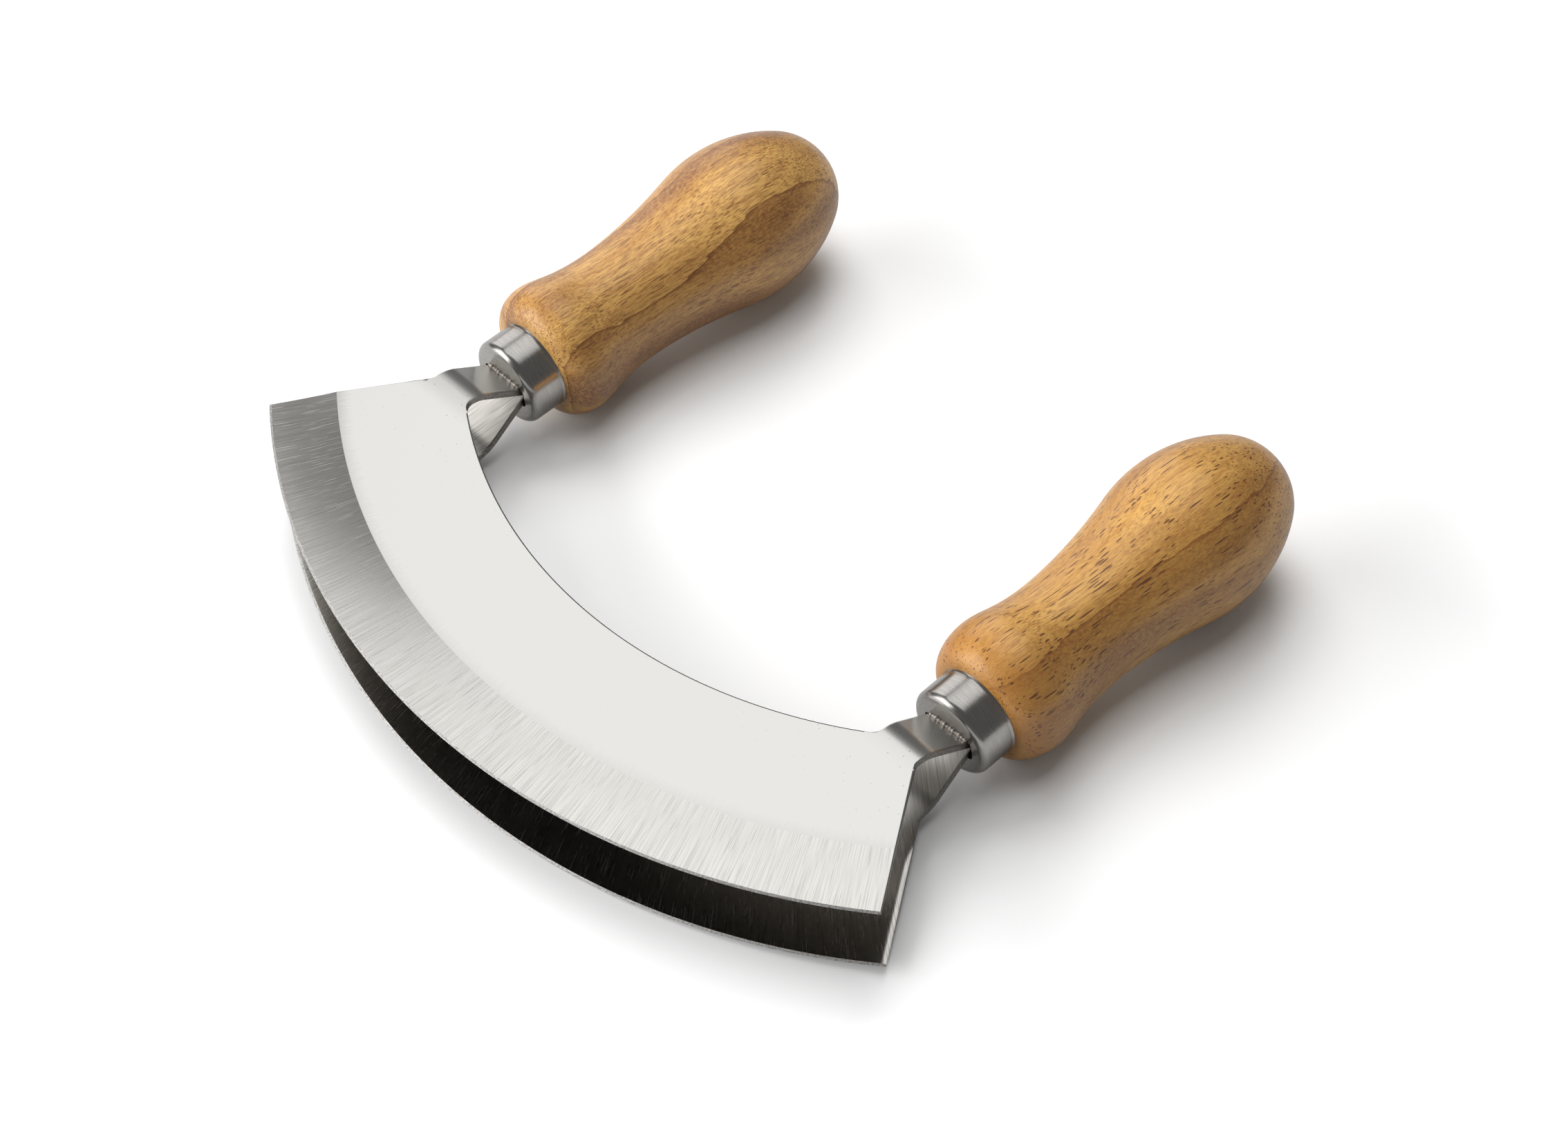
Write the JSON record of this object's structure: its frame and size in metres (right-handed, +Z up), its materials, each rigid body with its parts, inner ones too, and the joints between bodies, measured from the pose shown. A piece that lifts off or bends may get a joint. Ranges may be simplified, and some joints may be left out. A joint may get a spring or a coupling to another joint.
{
  "type": "mezzaluna",
  "caption": "Double-bladed rocking herb chopper with turned wooden upright handles in polished steel ferrules, lying on its side.",
  "frame": {"origin": "middle of the footprint on the table, under the tool as it lies on its side", "axes": "+X along the blades towards the right handle, +Y from the cutting edges to the handles, +Z up from the table"},
  "size_m": [0.1802, 0.1634, 0.0353],
  "materials": {
    "blade_steel": "mirror-polished flats, finely ground bevels",
    "ferrule_steel": "polished",
    "handle_wood": "satin clear lacquer",
    "tang_resin": "cured resin"
  },
  "bodies": {
    "root": {"upper_blade": "blade_steel", "lower_blade": "blade_steel", "right_ferrule": "ferrule_steel", "left_ferrule": "ferrule_steel", "right_handle": "handle_wood", "left_handle": "handle_wood", "right_tang_glue": "tang_resin", "left_tang_glue": "tang_resin"}
  },
  "joints": []
}
